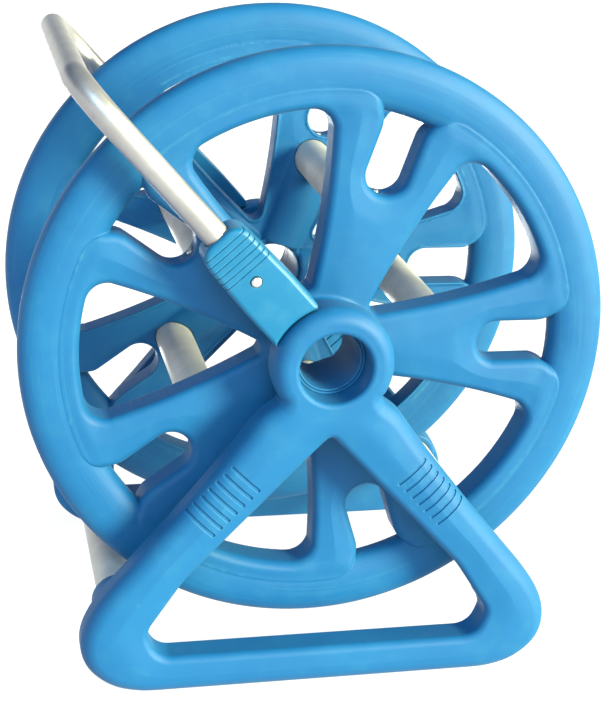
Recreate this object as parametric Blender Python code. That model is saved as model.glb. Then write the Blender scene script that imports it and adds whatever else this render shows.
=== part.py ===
"""Manual reel for a pool vacuum hose: two spoked wheels and five drum tubes turning between two A-shaped side frames, with a U handle.

Metres, +Z up. The origin is on the floor under the middle of the axle. The axle runs along Y; the front side is -Y.
"""

import math

import bmesh
import bpy
from mathutils import Matrix, Vector

# Driving dimensions, in metres
R = 0.290                 # wheel outer radius
AXLE_Z = 0.336            # axle height above the floor
GAP = 0.0003              # clearance between touching pieces

WHEEL_Y = 0.130           # middle plane of a wheel
WHEEL_HALF = 0.0175       # half thickness of a wheel
RIM_IN = 0.811 * R        # inner radius of the rim tube
PETAL_R = 0.870 * R       # outer radius of the raised window surrounds
WINDOW_R = 0.803 * R      # outer edge of the windows
SLOT_R = 0.545 * R        # inner end of the slots
SLOT_HALF = 0.071 * R     # half width of the slots
HUB_R = 0.0515            # hub radius on the wheel
HUB_OUT_Y = 0.1630        # outer end face of the wheel hub
HUB_IN_Y = 0.1130         # inner end face of the wheel hub
HUB_RING_Y = 0.1075       # inner end of the ring round the hub bore

TUBE_R = 0.020            # drum and base tube radius
TUBE_WALL = 0.0020
DRUM_R = 0.455 * R        # circle of the drum tubes
SOCKET_DEPTH = 0.022      # how far a drum tube enters a wheel

FRAME_FRONT = 0.2080      # outer face of a side frame
FRAME_BACK = 0.1725       # inner face of a side frame
BOSS_R = 0.203 * R        # hub boss of a side frame
BORE_R = 0.120 * R        # hub bore of a side frame
COLLAR_R = 0.0270         # collar round the end of a base tube
BASE_X = 0.672 * R        # base tube position
BASE_Z = AXLE_Z - 0.875 * R

JOURNAL_R = 0.0320
JOURNAL_IN = 0.0298
BUSH_IN = JOURNAL_R + GAP
BUSH_OUT = BORE_R - GAP

ARM_DEG = 132.2           # direction of the handle arms
ARM_Y = 0.1850            # plane of the handle arms
HANDLE_R = 0.0125
HANDLE_WALL = 0.0016
HANDLE_REACH = 1.215 * R  # axle to crossbar axis
HANDLE_BEND = 0.050
ARM_START = 0.0900        # inner end of a handle arm, from the axle
BUTTON_AT = 0.403 * R     # snap button, from the axle
SOCKET_TOP = 0.586 * R
SOCKET_BOTTOM = 0.2105 * R
SOCKET_HALF = 0.0275
SOCKET_FRONT = 0.2030
SOCKET_BACK = 0.1675
TONGUE_FRONT = 0.1672
TONGUE_BACK = 0.1585

SPOKES = 5
STEP = 2 * math.pi / SPOKES


for old in list(bpy.data.objects):
    bpy.data.objects.remove(old, do_unlink=True)

scene = bpy.context.scene
scene.unit_settings.system = "METRIC"
parts = bpy.data.collections.new("hose_reel")
cutters = bpy.data.collections.new("cutters")
scene.collection.children.link(parts)
scene.collection.children.link(cutters)


def material(name, colour, roughness, metallic=0.0):
    made = bpy.data.materials.new(name)
    made.use_nodes = True
    shader = made.node_tree.nodes["Principled BSDF"]
    shader.inputs["Base Color"].default_value = (*colour, 1.0)
    shader.inputs["Roughness"].default_value = roughness
    shader.inputs["Metallic"].default_value = metallic
    return made


BLUE = material("blue_moulded_plastic", (0.035, 0.33, 0.78), 0.42)
CYAN = material("sea_blue_plastic", (0.045, 0.40, 0.62), 0.38)
TUBE = material("matte_aluminium", (0.56, 0.56, 0.54), 0.45, 0.9)
BRIGHT = material("satin_aluminium", (0.78, 0.77, 0.75), 0.28, 1.0)
STEEL = material("stainless_steel", (0.60, 0.60, 0.60), 0.25, 1.0)


def empty(name, at, parent=None):
    made = bpy.data.objects.new(name, None)
    made.empty_display_size = 0.05
    parts.objects.link(made)
    made.parent = parent
    made.location = Vector(at) - (parent.matrix_world.translation if parent else Vector())
    bpy.context.view_layer.update()
    return made


STAND = empty("stand", (0, 0, 0))
REEL = empty("reel_axis", (0, 0, AXLE_Z))


def put(name, bm, look, parent=STAND, group=None):
    """Makes an object of the mesh, whose points are in world coordinates, with its origin on its parent."""
    bm.normal_update()
    mesh = bpy.data.meshes.new(name)
    bm.to_mesh(mesh)
    bm.free()
    made = bpy.data.objects.new(name, mesh)
    if group is None:
        group = parts
        made.parent = parent
        mesh.transform(Matrix.Translation(-parent.matrix_world.translation))
        mesh.materials.append(look)
    else:
        made.hide_render = True
        made.display_type = "WIRE"
    group.objects.link(made)
    mesh.shade_smooth()
    mesh.set_sharp_from_angle(angle=math.radians(35))
    return made


def cutter(name, bm):
    made = put(name, bm, None, group=cutters)
    return made


def boolean(target, other, operation="DIFFERENCE"):
    change = target.modifiers.new(other.name, "BOOLEAN")
    change.operation = operation
    change.object = other
    change.solver = "MANIFOLD"


def mirrored(source, name):
    """The mirror image of a mesh object across the plane between the wheels."""
    mesh = source.data.copy()
    mesh.transform(Matrix.Scale(-1, 4, (0, 1, 0)))
    mesh.flip_normals()
    made = bpy.data.objects.new(name, mesh)
    made.parent = source.parent
    if source.hide_render:
        cutters.objects.link(made)
        made.hide_render = True
        made.display_type = "WIRE"
    else:
        parts.objects.link(made)
    for change in source.modifiers:
        twin_name = change.object.name.replace("front", "rear")
        twin = bpy.data.objects.get(twin_name) or mirrored(change.object, twin_name)
        boolean(made, twin, change.operation)
    return made


def polar(radius, degrees):
    a = math.radians(degrees)
    return Vector((radius * math.cos(a), radius * math.sin(a)))


def arc(centre, radius, start, end, steps):
    """Points of an arc in the side plane, by angle in degrees."""
    return [
        Vector(centre) + polar(radius, start + (end - start) * k / steps)
        for k in range(steps + 1)
    ]


def rounded(corners, steps=5):
    """A closed outline through (x, z, radius) corners, each corner replaced by an arc."""
    out = []
    count = len(corners)
    for k in range(count):
        x, z, radius = corners[k]
        here = Vector((x, z))
        before = (Vector(corners[k - 1][:2]) - here).normalized()
        after = (Vector(corners[(k + 1) % count][:2]) - here).normalized()
        if radius <= 0:
            out.append(here)
            continue
        half = before.angle(after) / 2
        length = radius / math.tan(half)
        centre = here + (before + after).normalized() * radius / math.sin(half)
        a = here + before * length - centre
        b = here + after * length - centre
        turn = a.angle_signed(b)
        for s in range(steps + 1):
            out.append(centre + Matrix.Rotation(-turn * s / steps, 2) @ a)
    return out


def area(points):
    return 0.5 * sum(
        points[k - 1].x * points[k].y - points[k].x * points[k - 1].y
        for k in range(len(points))
    )


def inset(points, distance):
    """The outline moved to its left by a distance."""
    out = []
    for k, here in enumerate(points):
        one = (here - points[k - 1]).normalized()
        two = (points[(k + 1) % len(points)] - here).normalized()
        normal = Vector((-one.y - two.y, one.x + two.x)).normalized()
        out.append(here + normal * distance / max(0.5, normal.dot(Vector((-one.y, one.x)))))
    return out


def plate(loops, y_out, y_in, steps=2, back_steps=1):
    """A plate lofted from outlines in the side plane, with rounded outer and inner edges.

    loops: (points, outer edge radius, inner edge radius), the first the outside, the others holes.
    """
    bm = bmesh.new()
    side = 1 if y_in > y_out else -1
    first, last = [], []
    for index, (points, r_out, r_in) in enumerate(loops):
        if (area(points) > 0) != (index == 0):
            points = points[::-1]
        rows = []
        for k in range(steps + 1):
            a = math.pi / 2 * k / steps
            if r_out > 0 or k == steps:
                rows.append((r_out * (1 - math.sin(a)), y_out + side * r_out * (1 - math.cos(a))))
        for k in range(back_steps + 1):
            a = math.pi / 2 * (back_steps - k) / back_steps
            if r_in > 0 or k == 0:
                rows.append((r_in * (1 - math.sin(a)), y_in - side * r_in * (1 - math.cos(a))))
        rings = []
        for distance, y in rows:
            moved = inset(points, distance) if distance > 0 else points
            rings.append([bm.verts.new((p.x, y, p.y + AXLE_Z)) for p in moved])
        for upper, lower in zip(rings, rings[1:]):
            for k in range(len(points)):
                bm.faces.new((upper[k - 1], upper[k], lower[k], lower[k - 1]))
        first.append(rings[0])
        last.append(rings[-1])
    for rings in (first, last):
        edges = [bm.edges.get((ring[k - 1], ring[k])) for ring in rings for k in range(len(ring))]
        bmesh.ops.triangle_fill(bm, use_beauty=True, use_dissolve=False, edges=edges)
    bmesh.ops.recalc_face_normals(bm, faces=bm.faces)
    return bm


def turned(profile, steps, centre=(0, AXLE_Z)):
    """A closed (radius, y) profile turned about an axis along Y."""
    bm = bmesh.new()
    ring = [bm.verts.new((r + centre[0], y, centre[1])) for r, y in profile]
    edges = [bm.edges.new((ring[k - 1], ring[k])) for k in range(len(ring))]
    bmesh.ops.spin(
        bm, geom=ring + edges, axis=(0, 1, 0), cent=(centre[0], 0, centre[1]),
        dvec=(0, 0, 0), angle=2 * math.pi, steps=steps, use_merge=True,
    )
    bmesh.ops.remove_doubles(bm, verts=bm.verts, dist=1e-6)
    bmesh.ops.recalc_face_normals(bm, faces=bm.faces)
    return bm


def turned_solid(profile, steps, centre):
    """A (radius, y) profile that starts and ends on the axis, turned about an axis along Y."""
    bm = bmesh.new()
    line = [bm.verts.new((r + centre[0], y, centre[1])) for r, y in profile]
    edges = [bm.edges.new(pair) for pair in zip(line, line[1:])]
    bmesh.ops.spin(
        bm, geom=line + edges, axis=(0, 1, 0), cent=(centre[0], 0, centre[1]),
        dvec=(0, 0, 0), angle=2 * math.pi, steps=steps, use_merge=True,
    )
    bmesh.ops.remove_doubles(bm, verts=bm.verts, dist=1e-6)
    bmesh.ops.recalc_face_normals(bm, faces=bm.faces)
    return bm


def rod(bm, start, end, radius, segments=16, end_radius=None):
    """Adds a capped cylinder or cone between two points."""
    start, end = Vector(start), Vector(end)
    along = end - start
    turn = along.to_track_quat("Z", "Y").to_matrix().to_4x4()
    place = Matrix.Translation((start + end) / 2) @ turn
    bmesh.ops.create_cone(
        bm, cap_ends=True, segments=segments, radius1=radius,
        radius2=radius if end_radius is None else end_radius, depth=along.length, matrix=place,
    )


def at(radius, degrees, y):
    p = polar(radius, degrees)
    return Vector((p.x, y, p.y + AXLE_Z))


def screw(name, head, direction, head_h, length, parent, head_r=0.0042, shank_r=0.0021, segments=8):
    """A pan-head screw: its head's underside is at a point and its shank points along a direction."""
    profile = [
        (0.0, -head_h), (head_r * 0.70, -head_h), (head_r, -head_h * 0.45), (head_r, 0.0),
        (shank_r, 0.0), (shank_r, length * 0.82), (0.0, length),
    ]
    bm = turned_solid(profile, segments, (0, 0))
    aim = Matrix.Translation(Vector(head)) @ Vector(direction).to_track_quat("Y", "Z").to_matrix().to_4x4()
    bm.transform(aim)
    return put(name, bm, STEEL, parent)


def hollow_tube(name, radius, wall, y, x, z, look, parent, segments=16):
    """A straight open-ended tube along Y, from -y to +y."""
    profile = [(radius, -y), (radius, y), (radius - wall, y), (radius - wall, -y)]
    return put(name, turned(profile, segments, (x, z)), look, parent)


# Wheels ---------------------------------------------------------------------


def petal_outline():
    """Outside of the wheel plate: five window surrounds parted by U-shaped slots."""
    corner = 0.100 * R
    off = SLOT_HALF + corner
    along = math.sqrt((PETAL_R - corner) ** 2 - off ** 2)
    tilt = math.degrees(math.atan2(off, along))
    out = []
    for k in range(SPOKES):
        axis = 72.0 * k
        turn = Matrix.Rotation(math.radians(axis), 2)
        local = []
        local += arc((along, -off), corner, -tilt, 90, 3)
        local += arc((SLOT_R + SLOT_HALF, 0), SLOT_HALF, 270, 90, 6)
        local += arc((along, off), corner, 270, 360 + tilt, 3)
        out += [turn @ p for p in local]
        out += arc((0, 0), PETAL_R, axis + tilt, axis + 72 - tilt, 4)[1:-1]
    return out


def window_outline(axis):
    """A rounded triangle pointing at the hub, with slightly bowed sides."""
    side = []
    start, end = Vector((0.224 * R, 0.029 * R)), Vector((0.705 * R, 0.2345 * R))
    for k in range(4):
        t = k / 3
        p = start.lerp(end, t)
        p.y += 0.014 * R * 4 * t * (1 - t)
        side.append(p)
    corner = 0.072 * R
    heading = math.degrees(math.atan2(side[-1].y - side[-2].y, side[-1].x - side[-2].x))
    centre = side[-1] + polar(corner, heading - 90)
    reach = WINDOW_R - corner
    centre = centre.normalized() * reach
    turned_to = math.degrees(math.atan2(centre.y, centre.x))
    first = arc(centre, corner, heading + 90, turned_to, 3)
    rim = arc((0, 0), WINDOW_R, turned_to, 0, 2)[1:]
    half = arc((0.224 * R + 0.012 * R, 0), 0.031 * R, 180, 118, 2) + side[1:] + first[1:] + rim
    points = half + [Vector((p.x, -p.y)) for p in half[-2:0:-1]]
    turn = Matrix.Rotation(math.radians(axis), 2)
    return [turn @ p for p in points]


def wheel_mesh():
    loops = [(petal_outline(), 0.0045, 0)]
    for k in range(SPOKES):
        loops.append((window_outline(36.0 + 72.0 * k), 0.0045, 0))
    loops.append((arc((0, 0), 0.0355, 0, 360, 16)[:-1], 0, 0))
    return plate(loops, -WHEEL_Y - WHEEL_HALF - 0.0004, -WHEEL_Y + WHEEL_HALF + 0.0004, 1)


def rim_mesh():
    middle, half = (R + RIM_IN) / 2, (R - RIM_IN) / 2
    profile = []
    for k in range(12):
        a = 2 * math.pi * k / 12
        c, s = math.cos(a), math.sin(a)
        profile.append((
            middle + half * math.copysign(abs(c) ** 0.82, c),
            -WHEEL_Y + WHEEL_HALF * math.copysign(abs(s) ** 0.82, s),
        ))
    return turned(profile, 44)


front_wheel = put("front_wheel", wheel_mesh(), BLUE, REEL)
boolean(front_wheel, cutter("front_rim_tube", rim_mesh()), "UNION")

hub = turned([
    (HUB_R - 0.003, -HUB_OUT_Y), (HUB_R, -HUB_OUT_Y + 0.003), (HUB_R, -HUB_IN_Y), (0.0366, -HUB_IN_Y),
    (0.0366, -HUB_RING_Y - 0.001), (0.0356, -HUB_RING_Y), (JOURNAL_R + GAP, -HUB_RING_Y), (JOURNAL_R + GAP, -HUB_OUT_Y),
], 24)
boolean(front_wheel, cutter("front_hub", hub), "UNION")

bulges = bmesh.new()
for k in range(SPOKES):
    rod(bulges, at(0.0465, 72 * k, -0.1205), at(DRUM_R + 0.006, 72 * k, -0.1205), 0.0245, 12)
boolean(front_wheel, cutter("front_spoke_bulges", bulges), "UNION")

pockets = bmesh.new()
for k in range(SPOKES):
    p = polar(DRUM_R, 72 * k)
    y = -WHEEL_Y + WHEEL_HALF - SOCKET_DEPTH - GAP
    rod(pockets, (p.x, y, p.y + AXLE_Z), (p.x, -0.080, p.y + AXLE_Z), TUBE_R + 1.5 * GAP, 16)
boolean(front_wheel, cutter("front_drum_pockets", pockets))

DRUM_SCREW_Y = 0.1240
holes = bmesh.new()
for k in range(SPOKES):
    rod(holes, at(DRUM_R + TUBE_R - 0.006, 72 * k, -DRUM_SCREW_Y), at(SLOT_R + 0.010, 72 * k, -DRUM_SCREW_Y), 0.0021 + GAP, 8)
boolean(front_wheel, cutter("front_drum_screw_holes", holes))
seats = bmesh.new()
for k in range(SPOKES):
    rod(seats, at(SLOT_R - 0.0010, 72 * k, -DRUM_SCREW_Y), at(SLOT_R + 0.0060, 72 * k, -DRUM_SCREW_Y), 0.0048, 12)
boolean(front_wheel, cutter("front_drum_screw_seats", seats))
hub_screw_holes = bmesh.new()
for k in range(3):
    rod(hub_screw_holes, at(0.0395, 36 + 120 * k, -HUB_OUT_Y - 0.004), at(0.0395, 36 + 120 * k, -HUB_OUT_Y + 0.016), 0.0021 + GAP, 8)
boolean(front_wheel, cutter("front_hub_screw_holes", hub_screw_holes))
rear_wheel = mirrored(front_wheel, "rear_wheel")

# Drum tubes, with a screw through each end ------------------------------------

DRUM_END = WHEEL_Y - WHEEL_HALF + SOCKET_DEPTH
tube_holes = bmesh.new()
for k in range(SPOKES):
    for y in (-DRUM_SCREW_Y, DRUM_SCREW_Y):
        rod(tube_holes, at(DRUM_R + TUBE_R - 0.006, 72 * k, y), at(DRUM_R + TUBE_R + 0.004, 72 * k, y), 0.0021 + GAP, 8)
tube_hole_cutter = cutter("drum_tube_screw_holes", tube_holes)
for k in range(SPOKES):
    p = polar(DRUM_R, 72 * k)
    tube = hollow_tube(f"drum_tube_{k + 1}", TUBE_R, TUBE_WALL, DRUM_END, p.x, p.y + AXLE_Z, TUBE, REEL)
    boolean(tube, tube_hole_cutter)

for k in range(SPOKES):
    inward = at(0, 0, 0) - at(1, 72 * k, 0)
    made = screw(f"front_drum_screw_{k + 1}", at(SLOT_R - 0.0010 + GAP, 72 * k, -DRUM_SCREW_Y), inward, 0.0026, 0.0125, REEL)
    mirrored(made, f"rear_drum_screw_{k + 1}")

# Hub journals, turning in bushes in the side frames ----------------------------

FLANGE = 0.0045
journal = turned([
    (JOURNAL_R, -0.1790), (JOURNAL_R, -HUB_OUT_Y - GAP - FLANGE), (0.0470, -HUB_OUT_Y - GAP - FLANGE),
    (0.0470, -HUB_OUT_Y - GAP), (JOURNAL_R, -HUB_OUT_Y - GAP), (JOURNAL_R, -0.1080),
    (JOURNAL_IN, -0.1080), (JOURNAL_IN, -0.1790),
], 24)
front_journal = put("front_hub_journal", journal, BLUE, REEL)
flange_holes = bmesh.new()
head_seats = bmesh.new()
for k in range(3):
    rod(flange_holes, at(0.0395, 36 + 120 * k, -HUB_OUT_Y - 0.0060), at(0.0395, 36 + 120 * k, -HUB_OUT_Y + 0.002), 0.0021 + GAP, 8)
    rod(head_seats, at(0.0395, 36 + 120 * k, -HUB_OUT_Y - 0.008), at(0.0395, 36 + 120 * k, -HUB_OUT_Y - GAP - FLANGE + 0.0028), 0.0046, 12)
boolean(front_journal, cutter("front_flange_holes", flange_holes))
boolean(front_journal, cutter("front_flange_head_seats", head_seats))
mirrored(front_journal, "rear_hub_journal")

for k in range(3):
    made = screw(f"front_hub_screw_{k + 1}", at(0.0395, 36 + 120 * k, -HUB_OUT_Y - GAP - FLANGE + 0.0028 - GAP), (0, 1, 0), 0.0022, 0.0150, REEL)
    mirrored(made, f"rear_hub_screw_{k + 1}")

bush = turned([
    (BUSH_OUT, -0.1800), (BUSH_OUT, -FRAME_BACK + GAP), (0.0440, -FRAME_BACK + GAP),
    (0.0440, -FRAME_BACK + 0.0033), (BUSH_IN, -FRAME_BACK + 0.0033), (BUSH_IN, -0.1800),
], 24)
front_bush = put("front_axle_bush", bush, BLUE, STAND)
mirrored(front_bush, "rear_axle_bush")

# Side frames ------------------------------------------------------------------


def frame_outline():
    """The outside of a side frame: hub boss, splayed legs and rounded feet."""
    right = [(0.235, -0.172), (0.286, -0.240), (0.340, -0.312), (0.402, -0.390), (0.500, -0.512),
             (0.577, -0.603), (0.661, -0.703), (0.742, -0.800), (0.782, -0.862), (0.805, -0.915),
             (0.8135, -0.960), (0.810, -1.006), (0.790, -1.054), (0.748, -1.100), (0.693, -1.134),
             (0.620, -1.1535)]
    right = [Vector((x * R, z * R)) for x, z in right]
    foot = -AXLE_Z
    right.append(Vector((0.56 * R, foot)))
    left = [Vector((-p.x, p.y)) for p in right[::-1]]
    boss = arc((0, 0), BOSS_R, 214, -34, 20)
    return boss + right + left


def opening_outline():
    """The triangle between the legs and the floor bar."""
    top, slope = -0.236, 1.058
    corners = [
        (0, top, 0.010), (0.470, top - slope * 0.470, 0.35), (0.597, -0.925, 0.060),
        (0.560, -1.0215, 0.075), (-0.560, -1.0215, 0.075), (-0.597, -0.925, 0.060),
        (-0.470, top - slope * 0.470, 0.35),
    ]
    return rounded([(x * R, z * R, radius * R) for x, z, radius in corners], 4)


def bore_outline():
    return arc((0, 0), BORE_R, 0, 360, 24)[:-1]


front_frame = put("front_side_frame", plate(
    [(frame_outline(), 0.0110, 0.0030), (opening_outline(), 0.0060, 0), (bore_outline(), 0.0025, 0)],
    -FRAME_FRONT, -FRAME_BACK, 2), BLUE)

collars = bmesh.new()
for side in (-1, 1):
    rod(collars, (side * BASE_X, -FRAME_BACK - 0.012, BASE_Z), (side * BASE_X, -0.1530, BASE_Z), COLLAR_R, 20)
boolean(front_frame, cutter("front_base_collars", collars), "UNION")

tongue_end = 0.165
tongue = rounded([
    (0.0530, -0.0145, 0), (tongue_end, -0.0145, 0.012), (tongue_end, 0.0145, 0.012), (0.0530, 0.0145, 0)], 5)
turn = Matrix.Rotation(math.radians(ARM_DEG), 2)
tongue = [turn @ p for p in tongue]
boolean(front_frame, cutter("front_tongue", plate([(tongue, 0, 0)], -TONGUE_FRONT, -TONGUE_BACK)), "UNION")
root = [turn @ Vector(p) for p in ((0.0525, -0.015), (0.0585, -0.015), (0.0585, 0.015), (0.0525, 0.015))]
boolean(front_frame, cutter("front_tongue_root", plate([(root, 0, 0)], -0.1800, -TONGUE_BACK)), "UNION")

frame_bores = bmesh.new()
collar_holes = bmesh.new()
for side in (-1, 1):
    rod(frame_bores, (side * BASE_X, -0.1850 - GAP, BASE_Z), (side * BASE_X, -0.1400, BASE_Z), TUBE_R + 1.5 * GAP, 16)
    rod(collar_holes, (side * BASE_X, -0.1630, BASE_Z - COLLAR_R - 0.004), (side * BASE_X, -0.1630, BASE_Z - 0.014), 0.0021 + GAP, 8)
boolean(front_frame, cutter("front_frame_bores", frame_bores))
boolean(front_frame, cutter("front_collar_holes", collar_holes))
SOCKET_SCREWS = (0.080, 0.148)
tongue_holes = bmesh.new()
for reach in SOCKET_SCREWS:
    rod(tongue_holes, at(reach, ARM_DEG, -0.1700), at(reach, ARM_DEG, -0.1500), 0.0021 + GAP, 8)
boolean(front_frame, cutter("front_tongue_holes", tongue_holes))

grip = bmesh.new()
for side in (-1, 1):
    down = Vector((side * 0.6871, -0.7266))
    for k in range(7):
        # The middle line of a leg starts just under the axle and runs down the leg.
        middle = Vector((side * 0.0015, -0.0240)) + down * (0.1165 + 0.0102 * k)
        slope = math.atan2(down.y, down.x)
        place = Matrix.Translation((middle.x, -FRAME_FRONT, middle.y + AXLE_Z)) @ Matrix.Rotation(-slope, 4, "Y")
        bmesh.ops.create_cube(grip, size=1.0, matrix=place @ Matrix.Diagonal((0.0022, 0.0032, 0.0360, 1)))
boolean(front_frame, cutter("front_grip_grooves", grip))
rear_frame = mirrored(front_frame, "rear_side_frame")

# Base tubes ---------------------------------------------------------------------

base_holes = bmesh.new()
for side in (-1, 1):
    for y in (-0.1630, 0.1630):
        rod(base_holes, (side * BASE_X, y, BASE_Z - TUBE_R - 0.004), (side * BASE_X, y, BASE_Z - 0.014), 0.0021 + GAP, 8)
base_hole_cutter = cutter("base_tube_screw_holes", base_holes)
for side, name in ((-1, "left_base_tube"), (1, "right_base_tube")):
    tube = hollow_tube(name, TUBE_R, TUBE_WALL, 0.1850, side * BASE_X, BASE_Z, TUBE, STAND)
    boolean(tube, base_hole_cutter)
for side, word in ((-1, "left"), (1, "right")):
    made = screw(f"front_{word}_base_screw", (side * BASE_X, -0.1630, BASE_Z - COLLAR_R - GAP), (0, 0, 1), 0.0026, 0.0120, STAND)
    mirrored(made, f"rear_{word}_base_screw")

# Handle sockets -------------------------------------------------------------------


def socket_outline():
    """A handle socket: a concave end round the hub boss, straight sides and a rounded top."""
    half, top = SOCKET_HALF, SOCKET_TOP
    spread = math.degrees(math.asin(half / SOCKET_BOTTOM))
    points = arc((0, 0), SOCKET_BOTTOM, -spread, spread, 6)
    narrow = half - 0.0030
    points += rounded([(0.100, half, 0), (top, narrow, 0.016), (top, -narrow, 0.016), (0.100, -half, 0)], 4)
    return [turn @ p for p in points]


front_socket = put("front_handle_socket", plate(
    [(socket_outline(), 0.0035, 0.0)], -SOCKET_FRONT, -SOCKET_BACK, 2), CYAN)
arm_bore = bmesh.new()
rod(arm_bore, at(ARM_START - GAP, ARM_DEG, -ARM_Y), at(0.190, ARM_DEG, -ARM_Y), HANDLE_R + 3 * GAP, 14)
boolean(front_socket, cutter("front_arm_bore", arm_bore))
socket_holes = bmesh.new()
rod(socket_holes, at(BUTTON_AT, ARM_DEG, -0.2100), at(BUTTON_AT, ARM_DEG, -ARM_Y), 0.0050 + 2 * GAP, 12)
for reach in SOCKET_SCREWS:
    depth = 0.0120 if reach < ARM_START - 0.005 else 0.0035
    rod(socket_holes, at(reach, ARM_DEG, -SOCKET_BACK - depth - GAP), at(reach, ARM_DEG, -0.1600), 0.0021 + GAP, 8)
boolean(front_socket, cutter("front_socket_holes", socket_holes))
grooves = bmesh.new()
for k in range(6):
    reach = 0.1290 + 0.0064 * k
    place = (Matrix.Translation(at(reach, ARM_DEG, -SOCKET_FRONT))
             @ Matrix.Rotation(-math.radians(ARM_DEG), 4, "Y"))
    bmesh.ops.create_cube(grooves, size=1.0, matrix=place @ Matrix.Diagonal((0.0013, 0.0024, 0.0700, 1)))
boolean(front_socket, cutter("front_socket_grooves", grooves))
mirrored(front_socket, "rear_handle_socket")

for k, reach in enumerate(SOCKET_SCREWS):
    length = 0.0185 if reach < ARM_START - 0.005 else 0.0115
    made = screw(f"front_socket_screw_{k + 1}", at(reach, ARM_DEG, -TONGUE_BACK + GAP), (0, -1, 0), 0.0026, length, STAND)
    mirrored(made, f"rear_socket_screw_{k + 1}")

# Handle tube: one bent tube, with a hole for each snap button ---------------------------

path = [at(ARM_START, ARM_DEG, -ARM_Y)]
direction = polar(1.0, ARM_DEG)
for k in range(7):
    a = math.pi / 2 * k / 6
    reach = HANDLE_REACH - HANDLE_BEND + HANDLE_BEND * math.sin(a)
    path.append(at(reach, ARM_DEG, -ARM_Y + HANDLE_BEND * (1 - math.cos(a))))
path += [Vector((p.x, -p.y, p.z)) for p in path[::-1]]


def swept(points, radius, segments):
    """A curve object with a round bevel, made a mesh with welded caps."""
    data = bpy.data.curves.new("sweep", "CURVE")
    data.dimensions = "3D"
    data.bevel_depth = radius
    data.bevel_resolution = segments
    data.use_fill_caps = True
    spline = data.splines.new("POLY")
    spline.points.add(len(points) - 1)
    for point, place in zip(spline.points, points):
        point.co = (*place, 1.0)
    guide = bpy.data.objects.new("sweep", data)
    scene.collection.objects.link(guide)
    bpy.context.view_layer.update()
    mesh = bpy.data.meshes.new_from_object(guide.evaluated_get(bpy.context.evaluated_depsgraph_get()))
    bm = bmesh.new()
    bm.from_mesh(mesh)
    bm.transform(guide.matrix_world)
    bmesh.ops.remove_doubles(bm, verts=bm.verts, dist=1e-6)
    bmesh.ops.recalc_face_normals(bm, faces=bm.faces)
    bpy.data.objects.remove(guide, do_unlink=True)
    bpy.data.curves.remove(data)
    bpy.data.meshes.remove(mesh)
    return bm


handle = put("handle_tube", swept(path, HANDLE_R, 3), BRIGHT)
start = path[0] - (path[1] - path[0]).normalized() * 0.01
inner_path = [start] + path[1:-1] + [Vector((start.x, -start.y, start.z))]
boolean(handle, cutter("handle_inside", swept(inner_path, HANDLE_R - HANDLE_WALL, 3)))
button_holes = bmesh.new()
for side in (-1, 1):
    rod(button_holes, at(BUTTON_AT, ARM_DEG, side * ARM_Y), at(BUTTON_AT, ARM_DEG, side * 0.2100), 0.0050 + 2 * GAP, 12)
boolean(handle, cutter("handle_button_holes", button_holes))

# Snap buttons on V springs inside the arms -----------------------------------------------

button_axis = empty("front_button_axis", at(BUTTON_AT, ARM_DEG, -ARM_Y), STAND)
rear_button_axis = empty("rear_button_axis", at(BUTTON_AT, ARM_DEG, ARM_Y), STAND)
button_profile = [
    (0.0, -0.2062), (0.0028, -0.2060), (0.0044, -0.2050), (0.0050, -0.2034), (0.0050, -0.1928),
    (0.0062, -0.1928), (0.0062, -0.1915), (0.0, -0.1915),
]


centre = at(BUTTON_AT, ARM_DEG, 0)
front_button = put("front_snap_button", turned_solid(button_profile, 12, (centre.x, centre.z)), BRIGHT, button_axis)
rear_button = mirrored(front_button, "rear_snap_button")
rear_button.parent = rear_button_axis

# The V spring is drawn in its pressed shape, which leaves the button its travel.
spring_wire = [(-0.0085, -0.1819), (0.0100, -0.1811), (0.0230, -0.1800), (0.0262, -0.1790), (0.0230, -0.1780), (0.0060, -0.1769), (-0.0085, -0.1760)]
spring = bmesh.new()
thick, wide = 0.0004, 0.0035
rows = []
for k, (u, y) in enumerate(spring_wire):
    before = Vector(spring_wire[max(k - 1, 0)])
    after = Vector(spring_wire[min(k + 1, len(spring_wire) - 1)])
    along = (after - before).normalized()
    normal = Vector((-along.y, along.x)) * thick
    here = Vector((u, y))
    row = []
    for edge, across in ((here + normal, -wide), (here + normal, wide), (here - normal, wide), (here - normal, -wide)):
        p = turn @ Vector((BUTTON_AT + edge.x, across))
        row.append(spring.verts.new((p.x, edge.y, p.y + AXLE_Z)))
    rows.append(row)
for one, two in zip(rows, rows[1:]):
    for k in range(4):
        spring.faces.new((one[k - 1], one[k], two[k], two[k - 1]))
spring.faces.new(rows[0])
spring.faces.new(rows[-1])
bmesh.ops.recalc_face_normals(spring, faces=spring.faces)
front_spring = put("front_button_spring", spring, STEEL)
mirrored(front_spring, "rear_button_spring")
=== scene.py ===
"""Looks for the pool hose reel: detailed visual pieces, materials, floor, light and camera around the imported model."""

import math

import bmesh
import bpy
import numpy as np
from mathutils import Matrix, Vector


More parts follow.
